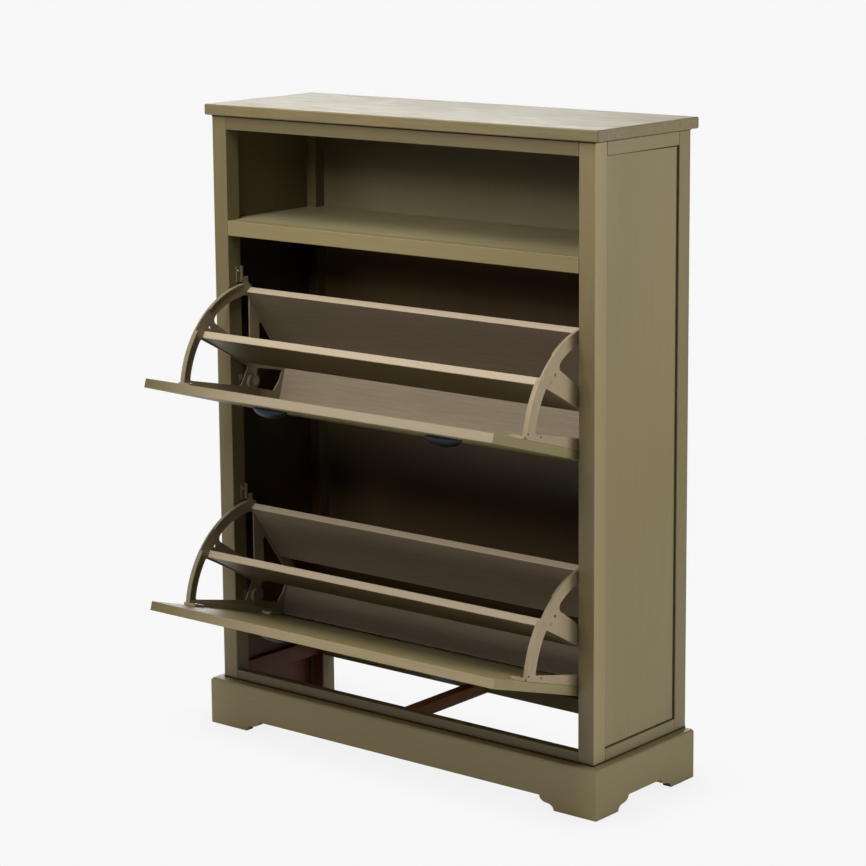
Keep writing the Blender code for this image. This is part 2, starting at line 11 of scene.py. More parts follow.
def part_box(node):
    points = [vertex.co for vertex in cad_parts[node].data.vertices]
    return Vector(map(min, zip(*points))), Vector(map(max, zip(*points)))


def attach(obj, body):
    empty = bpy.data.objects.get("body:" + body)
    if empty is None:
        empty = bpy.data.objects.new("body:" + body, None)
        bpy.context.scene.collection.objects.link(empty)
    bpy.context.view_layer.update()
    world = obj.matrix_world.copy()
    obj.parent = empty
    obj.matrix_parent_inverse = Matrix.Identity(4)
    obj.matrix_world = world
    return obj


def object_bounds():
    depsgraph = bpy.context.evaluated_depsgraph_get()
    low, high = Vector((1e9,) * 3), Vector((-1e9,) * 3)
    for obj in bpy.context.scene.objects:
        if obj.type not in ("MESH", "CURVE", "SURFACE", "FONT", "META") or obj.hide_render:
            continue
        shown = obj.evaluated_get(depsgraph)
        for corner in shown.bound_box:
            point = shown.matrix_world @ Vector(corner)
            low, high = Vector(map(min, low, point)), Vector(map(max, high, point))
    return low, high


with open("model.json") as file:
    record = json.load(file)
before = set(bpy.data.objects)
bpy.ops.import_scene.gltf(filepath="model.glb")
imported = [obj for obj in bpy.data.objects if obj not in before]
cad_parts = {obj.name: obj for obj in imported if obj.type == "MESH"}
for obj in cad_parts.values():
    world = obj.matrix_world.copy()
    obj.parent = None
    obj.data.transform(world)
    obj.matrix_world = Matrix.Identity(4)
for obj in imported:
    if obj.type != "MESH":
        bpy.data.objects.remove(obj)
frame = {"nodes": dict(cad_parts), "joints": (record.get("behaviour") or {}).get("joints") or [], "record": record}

CAD_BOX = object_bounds()
NODES = frame["nodes"]
JOINTS = {joint["child"]: joint for joint in frame["joints"]}
SIDES = {"left": -1, "right": 1}
LEVELS = ("lower", "upper")


def linear(red, green, blue):
    """Principled base colour from 0-255 display values."""
    def channel(value):
        value /= 255
        return value / 12.92 if value <= 0.04045 else ((value + 0.055) / 1.055) ** 2.4

    return channel(red), channel(green), channel(blue), 1.0


# ---------------------------------------------------------------- materials

class Shader:
    """A Principled material and short calls for the nodes that feed it."""

    def __init__(self, name, roughness, metallic=0.0, specular=0.5):
        self.material = bpy.data.materials.new(name)
        self.material.use_nodes = True
        self.tree = self.material.node_tree
        self.principled = self.tree.nodes["Principled BSDF"]
        self.principled.inputs["Roughness"].default_value = roughness
        self.principled.inputs["Metallic"].default_value = metallic
        self.principled.inputs["Specular IOR Level"].default_value = specular
        self.coordinates = self.tree.nodes.new("ShaderNodeTexCoord")

    def node(self, kind, settings=None, **inputs):
        """A node with its inputs set or linked: by number as _0, or by name with _ for a space."""
        made = self.tree.nodes.new("ShaderNode" + kind)
        for key, value in (settings or {}).items():
            setattr(made, key, value)
        for key, value in inputs.items():
            socket = made.inputs[int(key[1:])] if key[1:].isdigit() else made.inputs[key.replace("_", " ")]
            self.put(socket, value)
        return made

    def put(self, socket, value):
        if isinstance(value, bpy.types.NodeSocket):
            self.tree.links.new(value, socket)
        else:
            socket.default_value = value

    def place(self, scale, offset=(0, 0, 0)):
        """Object coordinates, moved and scaled."""
        source = self.coordinates.outputs["Object"]
        return self.node("Mapping", Vector=source, Scale=scale, Location=offset).outputs[0]

    def noise(self, where, scale=1.0, detail=2.0, roughness=0.5, distortion=0.0):
        made = self.node("TexNoise", Vector=where, Scale=scale, Detail=detail)
        made.inputs["Roughness"].default_value = roughness
        made.inputs["Distortion"].default_value = distortion
        return made.outputs[0]

    def math(self, operation, a, b=0.0):
        return self.node("Math", {"operation": operation}, _0=a, _1=b).outputs[0]

    def span(self, value, low, high, to_low=0.0, to_high=1.0):
        """Value between low and high, spread between two new limits and clamped."""
        made = self.node("MapRange", _0=value, _1=low, _2=high, _3=to_low, _4=to_high)
        return made.outputs[0]

    def mix(self, factor, a, b, blend="MIX"):
        made = self.tree.nodes.new("ShaderNodeMix")
        made.data_type = "RGBA"
        made.blend_type = blend
        self.put(made.inputs[0], factor)
        self.put(made.inputs[6], a)
        self.put(made.inputs[7], b)
        return made.outputs[2]

    def tint(self, colour, factor):
        """A colour made lighter or darker by a number around 1."""
        if isinstance(colour, tuple):
            colour = colour[:3]
        return self.node("VectorMath", {"operation": "SCALE"}, _0=colour, _3=factor).outputs[0]

    def edges(self, radius):
        """1 along sharp edges, 0 on flat faces."""
        bevel = self.node("Bevel", {"samples": 4}, Radius=radius).outputs[0]
        normal = self.node("NewGeometry").outputs["Normal"]
        dot = self.node("VectorMath", {"operation": "DOT_PRODUCT"}, _0=bevel, _1=normal).outputs["Value"]
        return self.span(dot, 0.99, 0.80)

    def bump(self, *layers):
        """Stacked bumps from (height, strength, distance in metres)."""
        normal = None
        for height, strength, distance in layers:
            made = self.node("Bump", Height=height, Strength=strength, Distance=distance)
            if normal is not None:
                self.put(made.inputs["Normal"], normal)
            normal = made.outputs[0]
        self.put(self.principled.inputs["Normal"], normal)

    def finish(self, colour, roughness=None):
        self.put(self.principled.inputs["Base Color"], colour)
        if roughness is not None:
            self.put(self.principled.inputs["Roughness"], roughness)
        return self.material


GRAIN = {"x": (9, 260, 260), "y": (260, 9, 260), "z": (260, 260, 9)}
POOL = {"x": (1.1, 5, 5), "y": (5, 1.1, 5), "z": (5, 5, 1.1)}


OLIVE = (130, 119, 82)
RUBBED = (176, 165, 134)
DOOR_BAND = (158, 143, 119)
FOIL_EDGE = (196, 178, 150)
COOLER = (0.98, 1.03, 1.20, 1.0)
WARMER = (1.05, 0.985, 0.90, 1.0)
FRONT_TINT = (1.0, 0.955, 0.97, 1.0)
# Where a look sets in and is complete, in metres across (x) or up (z)
RIGHT_FADE = (0.0, 0.35)
BAND_DIM_FADE = (-0.36, -0.10)
BAND_PALE_FADE = (-0.34, -0.10)
LOW_FADE = (0.70, 0.86)
HIGH_FADE = (0.90, 1.0)
# The posts' front faces, forward of the cabinet's rear edge, and how far back from them the painted highlight on
# the side faces reaches
POST_FRONT = 0.2558
PAINTED_HIGHLIGHT_DEPTH = 0.075
# Brown coat on the faces that the racks hide, darkened there by painted shade and changed by height as painted
# light: the lower colour, the upper one, and the heights between them
INSIDE_SIDES = ((124, 72, 38), (72, 60, 42), 0.20, 0.45)
INSIDE_BACK = ((96, 78, 47), (148, 122, 74), 0.70, 0.84)


def painted_wood(name, axis, seed, look, inner=None, inside=INSIDE_SIDES):
    """Satin paint over wood: faint grain along the board, soft clouds, edges rubbed a little paler.

    look holds painted light and shade: a factor on the whole colour for how much light the piece gets, and
    what is left of it as painted shade on upright faces (upright), on faces that look at the middle (inward),
    at the right end (right) and on front faces below the shelf (low) or near the top (high); a painted
    highlight is added on outward side faces near the front. brushed is the strength of brush streaks, band
    that of a pale front edge on a piece dimmed towards its left by painted shade, and cool takes yellow away.
    inner is (x, y, z) limits: paint nearer the middle than |x|, in front of y and below z takes the inside
    colours, a brown coat with painted shade and light.
    """
    s = Shader(name, 0.45, specular=0.5)
    shift = (seed * 0.37, seed * 0.61, seed * 0.23)
    grain = s.noise(s.place(GRAIN[axis], shift), 1.0, 5.0, 0.62, 0.25)
    clouds = s.noise(s.place(POOL[axis], shift), 1.0, 3.0, 0.5)
    peel = s.noise(s.place((900, 900, 900)), 1.0, 2.0)
    patchy = s.noise(s.place((60, 60, 60), shift), 1.0, 3.0)
    position = s.node("SeparateXYZ", _0=s.coordinates.outputs["Object"])
    x, y, z = (position.outputs[axis_index] for axis_index in range(3))
    facing = s.node("SeparateXYZ", _0=s.coordinates.outputs["Normal"])
    normal_x, normal_y, normal_z = (facing.outputs[axis_index] for axis_index in range(3))
    base = linear(*OLIVE)
    if inner is not None:
        limit_x, limit_y, limit_z = inner
        hidden = s.math("LESS_THAN", s.math("ABSOLUTE", x), limit_x)
        hidden = s.math("MULTIPLY", hidden, s.math("LESS_THAN", y, limit_y))
        hidden = s.math("MULTIPLY", hidden, s.span(z, limit_z, limit_z + 0.01, 1.0, 0.0))
        below, above, low, high = inside
        # the brown inside coat, darkened by painted shade and lighter or darker by height as painted light
        inside_coat_and_shade = s.mix(s.span(z, low, high), linear(*below), linear(*above))
        base = s.mix(hidden, base, inside_coat_and_shade)
    tone = s.math("MULTIPLY", s.span(grain, 0.3, 0.7, 0.955, 1.045), s.span(clouds, 0.3, 0.7, 0.96, 1.04))
    # a factor for how much light the piece gets: painted light and shade
    tone = s.math("MULTIPLY", tone, look.get("painted_light", 1.0))
    # painted highlight on outward side faces near the front
    if "glow" in look:
        front = CAD_BOX[1].y - POST_FRONT
        outward = s.span(s.math("MULTIPLY", normal_x, x), 0.05, 0.2, 0.0, look["glow"])
        near = s.math("MULTIPLY", outward, s.span(y, front, front + PAINTED_HIGHLIGHT_DEPTH, 1.0, 0.0))
        tone = s.math("MULTIPLY", tone, s.math("ADD", near, 1.0))
    if "cool" in look:
        base = s.mix(1.0, base, COOLER, "MULTIPLY")
    frontal = s.span(normal_y, -0.9, -0.5, 1.0, 0.0)
    # painted shade on front faces lower down
    if "low" in look:
        dimmed = s.math("MULTIPLY", frontal, s.span(z, *LOW_FADE, 1.0 - look["low"], 0.0))
        tone = s.math("MULTIPLY", tone, s.math("SUBTRACT", 1.0, dimmed))
    # painted shade on upright faces
    if "upright" in look:
        tone = s.math("MULTIPLY", tone, s.span(normal_z, 0.3, 0.7, look["upright"], 1.0))
    # painted shade towards the right end
    if "right" in look:
        tone = s.math("MULTIPLY", tone, s.span(x, *RIGHT_FADE, 1.0, look["right"]))
    # painted shade on front faces near the top
    if "high" in look:
        dimmed = s.math("MULTIPLY", frontal, s.span(z, *HIGH_FADE, 0.0, 1.0 - look["high"]))
        tone = s.math("MULTIPLY", tone, s.math("SUBTRACT", 1.0, dimmed))
    # painted shade on faces that look at the middle
    if "inward" in look:
        outward = s.math("MULTIPLY", normal_x, x)
        tone = s.math("MULTIPLY", tone, s.span(outward, -0.1, 0.1, look["inward"], 1.0))
    colour = s.tint(base, tone)
    warm = s.mix(1.0, colour, WARMER, "MULTIPLY")
    colour = s.mix(s.span(clouds, 0.35, 0.75, 0.0, 0.8), colour, warm)
    front_warm = s.mix(1.0, colour, FRONT_TINT, "MULTIPLY")
    colour = s.mix(frontal, colour, front_warm)
    # a pale front edge; the dimming towards the left is painted shade
    if "band" in look:
        colour = s.tint(colour, s.span(x, *BAND_DIM_FADE, 0.62, 1.0))
        pale = s.math("MULTIPLY", s.span(x, *BAND_PALE_FADE), s.span(normal_y, -0.9, -0.8, look["band"], 0.0))
        colour = s.mix(pale, colour, s.tint(linear(*DOOR_BAND), tone))
    rub = s.math("MULTIPLY", s.edges(0.0015), s.span(patchy, 0.35, 0.65, 0.10, 0.42))
    colour = s.mix(rub, colour, linear(*RUBBED))
    roughness = s.span(clouds, 0.3, 0.7, 0.41, 0.50)
    bumps = [(grain, 0.30, 0.00012), (peel, 0.25, 0.00005)]
    if "brushed" in look:
        streaks = s.noise(s.place((16, 150, 150), shift), 1.0, 4.0, 0.6, 0.4)
        colour = s.tint(colour, s.span(streaks, 0.3, 0.7, 1.0 - look["brushed"], 1.0 + look["brushed"]))
        roughness = s.math("ADD", roughness, s.span(streaks, 0.3, 0.7, 0.06, -0.06))
        bumps.append((streaks, 0.35, 0.0005))
    s.bump(*bumps)
    return s.finish(colour, roughness)


def foil_board(name, seed, face, edge, face_normal):
    """Printed foil over board: a fine streaky grain on the faces, a plain pale band on the edges."""
    s = Shader(name, 0.5, specular=0.4)
    shift = (seed * 0.41, seed * 0.17, seed * 0.29)
    streaks = s.noise(s.place((14, 420, 420), shift), 1.0, 6.0, 0.65, 0.3)
    pores = s.noise(s.place((70, 1500, 1500), shift), 1.0, 2.0, 0.5)
    clouds = s.noise(s.place((2, 7, 7), shift), 1.0, 3.0)
    tone = s.math("MULTIPLY", s.span(streaks, 0.3, 0.7, 0.86, 1.14), s.span(clouds, 0.3, 0.7, 0.93, 1.07))
    tone = s.math("MULTIPLY", tone, s.span(pores, 0.62, 0.72, 1.0, 0.90))
    faces = s.tint(linear(*face), tone)
    edges = s.tint(linear(*edge), s.span(streaks, 0.3, 0.7, 0.95, 1.05))
    normal = s.coordinates.outputs["Normal"]
    dot = s.node("VectorMath", {"operation": "DOT_PRODUCT"}, _0=normal, _1=tuple(face_normal))
    on_face = s.span(s.math("ABSOLUTE", dot.outputs["Value"]), 0.80, 0.90)
    s.bump((streaks, 0.25, 0.0001), (pores, 0.2, 0.00006))
    return s.finish(s.mix(on_face, edges, faces), s.span(clouds, 0.3, 0.7, 0.46, 0.58))


def moulded_plastic(name, base):
    """Beige moulded plastic: spark-eroded texture, faint flow marks and slightly polished edges."""
    s = Shader(name, 0.45, specular=0.45)
    flow = s.noise(s.place((3, 24, 24)), 1.0, 4.0, 0.55, 1.2)
    spark = s.noise(s.place((1700, 1700, 1700)), 1.0, 2.0)
    specks = s.noise(s.place((420, 420, 420)), 1.0, 1.0)
    tone = s.math("MULTIPLY", s.span(flow, 0.3, 0.7, 0.95, 1.05), s.span(specks, 0.3, 0.7, 0.97, 1.03))
    worn = s.math("MULTIPLY", s.edges(0.0009), 0.35)
    colour = s.mix(worn, s.tint(linear(*base), tone), linear(205, 192, 166))
    s.bump((spark, 0.35, 0.00006), (flow, 0.1, 0.0002))
    return s.finish(colour, s.span(flow, 0.3, 0.7, 0.40, 0.50))


def cast_metal(name, base, roughness):
    """Dark plated metal: fine brushing along the piece, cloudy tarnish and brighter edges."""
    s = Shader(name, roughness, metallic=1.0)
    brushing = s.noise(s.place((40, 1300, 1300)), 1.0, 3.0, 0.6)
    tarnish = s.noise(s.place((55, 55, 55)), 1.0, 4.0, 0.6)
    tone = s.math("MULTIPLY", s.span(brushing, 0.3, 0.7, 0.88, 1.12), s.span(tarnish, 0.3, 0.7, 0.88, 1.08))
    worn = s.math("MULTIPLY", s.edges(0.0007), 0.4)
    colour = s.mix(worn, s.tint(linear(*base), tone), linear(170, 176, 184))
    s.bump((brushing, 0.2, 0.00004))
    return s.finish(colour, s.span(tarnish, 0.3, 0.7, roughness - 0.06, roughness + 0.08))


def zinc(name):
    """Zinc-plated steel: small spangles and faint rolling lines."""
    s = Shader(name, 0.38, metallic=1.0)
    spangle = s.node("TexVoronoi", Vector=s.place((260, 260, 260)), Scale=1.0).outputs["Color"]
    lines = s.noise(s.place((1500, 60, 1500)), 1.0, 3.0)
    grey = s.node("RGBToBW", _0=spangle).outputs[0]
    tone = s.math("MULTIPLY", s.span(grey, 0.0, 1.0, 0.90, 1.06), s.span(lines, 0.3, 0.7, 0.95, 1.05))
    colour = s.tint(linear(158, 158, 156), tone)
    s.bump((lines, 0.15, 0.00004))
    return s.finish(colour, s.span(grey, 0.0, 1.0, 0.32, 0.46))


def shadow_paint(name, base):
    """Dark, matt and uneven paint: painted shadow in the grooves and lines, and the colour of joint filler and
    moulding marks.
    """
    s = Shader(name, 0.75, specular=0.2)
    dust = s.noise(s.place((90, 90, 90)), 1.0, 4.0, 0.6)
    fine = s.noise(s.place((700, 700, 700)), 1.0, 2.0)
    tone = s.math("MULTIPLY", s.span(dust, 0.3, 0.7, 0.75, 1.3), s.span(fine, 0.3, 0.7, 0.9, 1.1))
    s.bump((fine, 0.3, 0.00005))
    return s.finish(s.tint(linear(*base), tone), s.span(dust, 0.3, 0.7, 0.68, 0.82))


def stained_wood(name, axis, seed, dark, light):
    """Stained bare wood: strong grain with dark pores."""
    s = Shader(name, 0.6, specular=0.2)
    shift = (seed * 0.37, seed * 0.61, seed * 0.23)
    figure = s.noise(s.place(tuple(v / 4 for v in GRAIN[axis]), shift), 1.0, 5.0, 0.6, 0.9)
    pores = s.noise(s.place(tuple(v * 3 for v in GRAIN[axis]), shift), 1.0, 2.0)
    colour = s.mix(s.span(figure, 0.32, 0.68), linear(*dark), linear(*light))
    colour = s.mix(s.span(pores, 0.60, 0.72, 0.0, 0.5), colour, linear(*(v * 0.55 for v in dark)))
    s.bump((figure, 0.3, 0.0003), (pores, 0.4, 0.0001))
    return s.finish(colour, s.span(figure, 0.3, 0.7, 0.52, 0.68))


def long_axis(node):
    low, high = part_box(node)
    size = high - low
    return "xyz"[max(range(3), key=lambda i: size[i])]


def main_normal(node):
    """The direction of a board's two largest faces."""
    areas = {}
    for face in NODES[node].data.polygons:
        key = tuple(round(abs(v), 2) for v in face.normal)
        total, normal = areas.get(key, (0.0, face.normal.copy()))
        areas[key] = (total + face.area, normal)
    return max(areas.values(), key=lambda pair: pair[0])[1]


# How each painted piece differs from the plain coat, by a word in its name; the first that fits is used. Most
# entries are painted light and shade, making pieces and faces lighter or darker as the light falls on them
LOOKS = {
    "top_board": {"upright": 0.84, "brushed": 0.13},
    "top_rail_front": {"painted_light": 0.63},
    "shelf_rail": {"painted_light": 1.20, "right": 0.83},
    "shelf_board": {"painted_light": 1.46, "right": 0.70, "brushed": 0.10, "cool": True},
    "post_front_left": {"painted_light": 0.92, "glow": 0.55, "inward": 0.8},
    "post_front_right": {"painted_light": 0.92, "glow": 0.55, "low": 0.78},
    "post_rear": {"painted_light": 0.89, "inward": 0.8},
    "side_panel": {"glow": 0.12, "inward": 0.62},
    "bottom_rail_front": {"painted_light": 0.56},
    "bottom_rail_left": {"painted_light": 0.92},
    "bottom_rail_right": {"painted_light": 0.92},
    "plinth_front": {"painted_light": 1.10},
    "plinth": {"painted_light": 0.95},
    "lower_door": {"painted_light": 1.25, "band": 0.35},
    "upper_door": {"painted_light": 1.12, "band": 0.95},
    "back_panel": {"high": 0.40, "cool": True},
}
# One foil; each panel's face colour is made lighter or darker as painted light and shade
FOIL_LIGHT_AND_SHADE = {
    "upper_rear_panel": (136, 121, 101),
    "lower_rear_panel": (150, 134, 112),
    "upper_toe_panel": (162, 146, 122),
    "lower_toe_panel": (110, 97, 80),
    "divider": (118, 105, 86),
}


def look_up(node, table, otherwise):
    """The value of the first key that is part of the node's name."""
    return next((value for key, value in table.items() if key in node), otherwise)


def dress_nodes():
    """Give every CAD node its material, and return the shared ones."""
    finishes = {
        "beige": moulded_plastic("beige_plastic", (164, 146, 116)),
        # a darker copy for the left brackets: painted shade
        "beige_left_shaded": moulded_plastic("beige_plastic_left_shaded", (148, 134, 107)),
        "beige_dark": moulded_plastic("beige_plastic_dark", (104, 93, 70)),
        "pull": cast_metal("pull_metal", (52, 56, 62), 0.40),
        "steel": zinc("zinc_steel"),
        "filler": shadow_paint("joint_filler", (98, 88, 58)),
        # painted shadow for the dark lines in the grooves, under the top board and over the plinth
        "groove_shadow": shadow_paint("groove_painted_shadow", (52, 45, 24)),
        "dark": shadow_paint("moulding_mark", (70, 58, 44)),
    }
    slots = {part["node"]: part["material_slot"] for part in frame["record"]["subparts"]}
    shelf_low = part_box("shelf_board")[0].z
    panel_low, panel_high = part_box("side_panel_right")
    panel_middle = (panel_low.x + panel_high.x) / 2
    for seed, node in enumerate(sorted(NODES), 1):
        slot = slots[node]
        if slot == "olive_paint":
            inner, inside = None, INSIDE_SIDES
            if node.startswith(("side_panel", "bottom_rail_left", "bottom_rail_right", "post_rear")):
                inner = (panel_middle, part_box("post_rear_left")[0].y + 0.001, shelf_low)
            elif node in ("plinth_left", "plinth_right"):
                low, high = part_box(node)
                inner = (abs(low.x + high.x) / 2, high.y - 0.004, high.z - 0.016)
            elif node in ("back_panel", "shelf_board"):
                inner, inside = (1.0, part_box("back_panel")[0].y + 0.001, shelf_low + 0.001), INSIDE_BACK
            look = look_up(node, LOOKS, {})
            material = painted_wood(f"paint_{node}", long_axis(node), seed, look, inner, inside)
        elif slot == "panel_foil":
            # the face colour carries the panel's painted light and shade
            face = look_up(node, FOIL_LIGHT_AND_SHADE, (120, 108, 90))
            material = foil_board(f"foil_{node}", seed, face, FOIL_EDGE, main_normal(node))
        elif slot == "interior_brown":
            material = stained_wood(f"brown_{node}", "y", seed, (112, 70, 44), (160, 108, 70))
        elif slot == "beige_plastic":
            # the left brackets take the darker copy, painted shade
            kind = "beige_dark" if "stop" in node else "beige_left_shaded" if node.endswith("left") else "beige"
            material = finishes[kind]
        else:
            material = finishes[{"pull_metal": "pull", "zinc_steel": "steel"}[slot]]
        for holder in NODES[node].material_slots:
            holder.material = material
    return finishes


# ---------------------------------------------------------------- small fixings

def ride_mesh(name, bm, body, material):
    """A new piece, smooth but for its sharp edges, that moves with a body."""
    bmesh.ops.recalc_face_normals(bm, faces=bm.faces)
    mesh = bpy.data.meshes.new(name)
    bm.to_mesh(mesh)
    bm.free()
    mesh.shade_smooth()
    mesh.set_sharp_from_angle(angle=math.radians(40))
    mesh.materials.append(material)
    piece = bpy.data.objects.new(name, mesh)
    bpy.context.scene.collection.objects.link(piece)
    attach(piece, body)


HEAD_SIDES = 32


def add_head(bm, at, normal, radius, height, cross=True, turn=0.3):
    """A pan-headed screw's head on a surface, with a cross recess, or a nail's plain head."""
    across = Vector(normal).normalized().to_track_quat("Z", "X").to_matrix().to_4x4()
    place = Matrix.Translation(at) @ across @ Matrix.Rotation(turn, 4, "Z")
    rings = [(1.0, 0.0), (1.0, 0.45), (0.93, 0.75), (0.8, 0.92), (0.6, 1.0), (0.5, 1.0), (0.25, 1.0)]
    made = []
    for share, lift in rings:
        ring = []
        for index in range(HEAD_SIDES):
            angle = 2 * math.pi * index / HEAD_SIDES
            recess = 0.55 if cross and index % 8 == 0 and share <= 0.5 else 0.0
            flat = radius * share * math.cos(angle), radius * share * math.sin(angle)
            ring.append(bm.verts.new(place @ Vector((*flat, height * (lift - recess)))))
        made.append(ring)
    for lower, upper in zip(made, made[1:]):
        for index in range(HEAD_SIDES):
            after = (index + 1) % HEAD_SIDES
            bm.faces.new((lower[index], lower[after], upper[after], upper[index]))
    for ring, lift in ((made[0], 0.0), (made[-1], 0.45 if cross else 1.0)):
        middle = bm.verts.new(place @ Vector((0, 0, height * lift)))
        for index in range(HEAD_SIDES):
            bm.faces.new((ring[index], ring[(index + 1) % HEAD_SIDES], middle))


def add_strip(bm, start, end, start_width, end_width, out):
    """A low tapered bead along a line on a face: flat underneath, with its two long edges eased."""
    start, end, out = Vector(start), Vector(end), Vector(out)
    across = (end - start).cross(out).normalized()
    rings = []
    for at, width in ((start, start_width), (end, end_width)):
        rings.append([
            bm.verts.new(at + across * width * share + out * lift)
            for share, lift in ((-0.5, 0.0), (-0.5, 0.6), (-0.3, 1.0), (0.3, 1.0), (0.5, 0.6), (0.5, 0.0))
        ])
    count = len(rings[0])
    for index in range(count):
        after = (index + 1) % count
        bm.faces.new((rings[0][index], rings[0][after], rings[1][after], rings[1][index]))
    for ring in rings:
        bm.faces.new(ring)


def rack_place(level):
    """From a rack's own upright frame, in metres about its pivot, to where it stands at rest."""
    joint = JOINTS[f"{level}_rack"]
    turn = Matrix.Rotation(math.radians(joint["range_deg"][1]), 4, "X")
    return Matrix.Translation(joint["pos_m"]) @ turn


# How far the painted shadow strips stand off their faces; the joint fillers sit twice as far back
STRIP_PROUD = 0.0004
# A bracket in a rack's own upright frame: its outer web face and the tabs' line of screws across, and the
# tabs' face in depth
WEB_FACE = 0.3525
SCREW_LINE = 0.334
TAB_FACE = -0.0247
LEDGES = (  # inner face line of each board as (depth, height) pairs, and the ledge's place along it
    ((0.0284, 0.0272), (0.0533, 0.1368), 0.075),
    ((0.0691, -0.0445), (0.1435, 0.0520), 0.060),
    ((-0.0265, -0.0740), (0.0540, -0.0740), 0.040),
)
LEDGE_BACK = 0.0153


def ledge_screws():
    """Where the ledge screws sit and point, as (depth, height) pairs."""
    for start, end, along in LEDGES:
        start, end = Vector(start), Vector(end)
        way = (end - start).normalized()
        out = Vector((way.y, -way.x))
        yield start + way * along + out * LEDGE_BACK, out


def dress_racks(finishes):
    """Screws through the brackets' tabs and ledges, and the moulding marks beside the door."""
    for level in LEVELS:
        place = rack_place(level)
        turn = place.to_3x3()
        for side, sign in SIDES.items():
            screws, marks, cap = bmesh.new(), bmesh.new(), bmesh.new()

            def head(bm, at, normal, radius, height, cross=True, spin=0.3):
                add_head(bm, place @ Vector(at), turn @ Vector(normal), radius, height, cross, spin)

            head(cap, (sign * WEB_FACE, 0.0598, 0.1287), (sign, 0, 0), 0.0026, 0.0007)
            for height, spin in ((0.160, 0.5), (-0.029, 0.1)):
                head(screws, (sign * SCREW_LINE, TAB_FACE, height), (0, 1, 0), 0.0034, 0.0014, True, spin)
            for spin, (at, out) in enumerate(ledge_screws()):
                head(screws, (sign * SCREW_LINE, *at), (0, *out), 0.0034, 0.0012, True, spin * 0.4)
            for depth, height in ((-0.0243, 0.1639), (-0.0249, 0.1313)):
                head(marks, (sign * WEB_FACE, depth + 0.003, height), (sign, 0, 0), 0.0018, 0.0002, False)
            body = f"{level}_rack"
            ride_mesh(f"{level}_rack_screws_{side}", screws, body, finishes["steel"])
            # the left bracket's darker plastic is painted shade
            plastic = finishes["beige_left_shaded" if side == "left" else "beige"]
            ride_mesh(f"{level}_rack_cap_{side}", cap, body, plastic)
            ride_mesh(f"{level}_rack_marks_{side}", marks, body, finishes["dark"])


PLATE_SCREW = (0.0022, 0.0007)
STOP_SCREW = (0.0026, 0.0012)
NAIL = (0.0024, 0.0004)
NAIL_INSET = 0.012
NAIL_ROWS = (1.020, 0.8525, 0.084)  # the rear top rail, the shelf and the rear bottom rail
# Widths of painted shadow lines: across the front and over the plinth, under the top board at the sides, and by
# the side panels' rear posts
SHADOW_LINE_WIDTH = 0.0026
UNDER_TOP_SHADOW_WIDTH = 0.0022
PANEL_SHADOW_WIDTH = 0.0034
FILLER = 0.0016


def screw_fittings(finishes):
    """Screws in the pivot plates and in the open and closed stops."""
    screws = bmesh.new()
    for level in LEVELS:
        for side, sign in SIDES.items():
            plate_low, plate_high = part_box(f"{level}_pivot_plate_{side}")
            inner_x = sign * min(abs(plate_low.x), abs(plate_high.x))
            pivot = Vector(JOINTS[f"{level}_rack"]["pos_m"])
            for up in (-0.009, 0.009):
                at = (inner_x, pivot.y - 0.020, pivot.z + up)
                add_head(screws, at, (-sign, 0, 0), *PLATE_SCREW, True, 0.4 + up * 30)
            low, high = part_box(f"{level}_open_stop_{side}")
            add_head(screws, (inner_x, low.y + 0.0042, high.z - 0.008), (-sign, 0, 0), *STOP_SCREW)
            low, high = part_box(f"{level}_closed_stop_{side}")
            for inset in (0.008, 0.024):
                at = (inner_x, low.y + inset, high.z - 0.009)
                add_head(screws, at, (-sign, 0, 0), *STOP_SCREW, True, inset * 20)
    ride_mesh("cabinet_screws", screws, "cabinet", finishes["steel"])


def nail_back(finishes):
    """Nails through the back panel, in rows along the rails and the shelf and up both posts."""
    nails = bmesh.new()
    low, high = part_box("back_panel")
    for height in NAIL_ROWS:
        for x in np.linspace(low.x + NAIL_INSET, high.x - NAIL_INSET, 9):
            add_head(nails, (x, high.y, height), (0, 1, 0), *NAIL, False)
    for x in (low.x + NAIL_INSET, high.x - NAIL_INSET):
        for height in np.linspace(0.18, 0.93, 8):
            add_head(nails, (x, high.y, height), (0, 1, 0), *NAIL, False)
    ride_mesh("back_panel_nails", nails, "cabinet", finishes["steel"])


def paint_front_shadows(finishes, under_top, over_plinth):
    """Painted shadow lines across the front, under the top board and along the plinth."""
    shadow_strips = bmesh.new()
    for nodes, height in (
        (("post_front_left", "top_rail_front", "post_front_right"), under_top),
        (("post_front_left", "bottom_rail_front", "post_front_right"), over_plinth),
    ):
        for node in nodes:
            low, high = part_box(node)
            ends = (low.x, low.y, height), (high.x, low.y, height)
            add_strip(shadow_strips, *ends, SHADOW_LINE_WIDTH, SHADOW_LINE_WIDTH, (0, -STRIP_PROUD, 0))
    ride_mesh("front_shadow_lines", shadow_strips, "cabinet", finishes["groove_shadow"])


